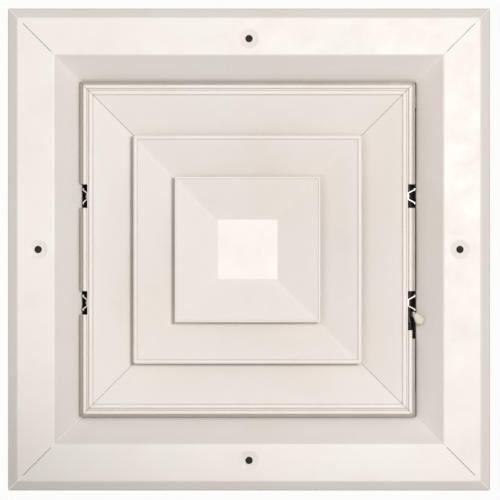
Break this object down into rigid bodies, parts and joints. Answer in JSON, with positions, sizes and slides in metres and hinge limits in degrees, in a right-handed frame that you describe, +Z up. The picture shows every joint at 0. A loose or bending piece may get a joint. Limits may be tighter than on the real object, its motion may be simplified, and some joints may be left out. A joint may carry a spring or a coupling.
{
  "type": "ceiling air diffuser",
  "caption": "Square ceiling air diffuser: mitred screw-on frame, stepped square louvre core held by spring clips, and a lever-worked multi-blade damper in its neck.",
  "frame": {"origin": "centre of the opening, on the plane of the ceiling that the flange's outer edge rests against", "axes": "+Z up into the duct, so the face looks along -Z; X and Y are parallel to the sides; the damper lever is at +X, +Y"},
  "size_m": [0.285, 0.285, 0.0865],
  "materials": {
    "frame_paint": "satin off-white powder coat on the frame",
    "core_paint": "satin off-white powder coat on the louvre core",
    "lever_paint": "off-white enamel",
    "damper_coating": "matt black coating on sheet steel",
    "galvanised_steel": "spangled zinc coating",
    "zinc_plate": "bright zinc plate",
    "zinc_rivet": "dull aluminium rivet",
    "spring_steel": "polished spring steel",
    "nylon": "natural nylon",
    "black_foam": "closed-cell foam"
  },
  "bodies": {
    "frame": {"frame_rail_east": "frame_paint", "frame_rail_south": "frame_paint", "frame_rail_west": "frame_paint", "frame_rail_north": "frame_paint", "flange_corner_plates": "galvanised_steel", "neck_angle_ne": "galvanised_steel", "neck_angle_nw": "galvanised_steel", "neck_angle_se": "galvanised_steel", "neck_angle_sw": "galvanised_steel", "neck_angle_rivets": "zinc_rivet", "foam_gasket_strips": "black_foam", "damper_wall_east": "damper_coating", "damper_wall_south": "damper_coating", "damper_wall_west": "damper_coating", "damper_wall_north": "damper_coating", "damper_casing_rivets": "zinc_rivet", "pivot_bushes_east": "nylon", "pivot_bushes_west": "nylon"},
    "core": {"core_rail_east": "core_paint", "core_rail_south": "core_paint", "core_rail_west": "core_paint", "core_rail_north": "core_paint", "core_angle_ne": "galvanised_steel", "core_angle_nw": "galvanised_steel", "core_angle_se": "galvanised_steel", "core_angle_sw": "galvanised_steel", "core_angle_rivets": "zinc_rivet", "core_ring_middle": "core_paint", "core_pan_center": "core_paint", "strap_north_south": "galvanised_steel", "strap_east_west": "galvanised_steel", "center_spacer": "zinc_plate", "center_stud": "zinc_plate", "center_nut": "zinc_plate", "strap_rivets": "zinc_rivet", "spring_clip_ne": "spring_steel", "spring_clip_nw": "spring_steel", "spring_clip_se": "spring_steel", "spring_clip_sw": "spring_steel", "clip_rivets": "zinc_rivet"},
    "blade_1": {"damper_blade_1": "damper_coating", "blade_crank_1": "zinc_plate", "blade_pins_1": "zinc_plate"},
    "blade_2": {"damper_blade_2": "damper_coating", "blade_crank_2": "zinc_plate", "blade_pins_2": "zinc_plate"},
    "blade_3": {"damper_blade_3": "damper_coating", "blade_crank_3": "zinc_plate", "blade_pins_3": "zinc_plate"},
    "blade_4": {"damper_blade_4": "damper_coating", "blade_crank_4": "zinc_plate", "blade_pins_4": "zinc_plate"},
    "blade_5": {"damper_blade_5": "damper_coating", "blade_crank_5": "zinc_plate", "blade_pins_5": "zinc_plate"},
    "link": {"link_bar": "zinc_plate", "damper_lever": "lever_paint", "lever_rivets": "zinc_rivet"}
  },
  "joints": [
    {"name": "core_slide", "type": "slide", "parent": "frame", "child": "core", "axis": [0, 0, -1], "range_m": [0, 0.06]},
    {"name": "blade_1_turn", "type": "hinge", "parent": "frame", "child": "blade_1", "pos_m": [0, -0.0784, 0.057], "axis": [1, 0, 0], "range_deg": [0, 72]},
    {"name": "blade_2_turn", "type": "hinge", "parent": "frame", "child": "blade_2", "pos_m": [0, -0.0392, 0.057], "axis": [1, 0, 0], "range_deg": [0, 72]},
    {"name": "blade_3_turn", "type": "hinge", "parent": "frame", "child": "blade_3", "pos_m": [0, 0, 0.057], "axis": [1, 0, 0], "range_deg": [0, 72]},
    {"name": "blade_4_turn", "type": "hinge", "parent": "frame", "child": "blade_4", "pos_m": [0, 0.0392, 0.057], "axis": [1, 0, 0], "range_deg": [0, 72]},
    {"name": "blade_5_turn", "type": "hinge", "parent": "frame", "child": "blade_5", "pos_m": [0, 0.0784, 0.057], "axis": [1, 0, 0], "range_deg": [0, 72]},
    {"name": "link_swing", "type": "hinge", "parent": "blade_3", "child": "link", "pos_m": [0.0945, -0.00376, 0.05182], "axis": [1, 0, 0], "range_deg": [-72, 0]}
  ],
  "couplings": [
    {"joint": "blade_1_turn", "follows": "blade_3_turn", "ratio": 1},
    {"joint": "blade_2_turn", "follows": "blade_3_turn", "ratio": 1},
    {"joint": "blade_4_turn", "follows": "blade_3_turn", "ratio": 1},
    {"joint": "blade_5_turn", "follows": "blade_3_turn", "ratio": 1},
    {"joint": "link_swing", "follows": "blade_3_turn", "ratio": -1}
  ]
}
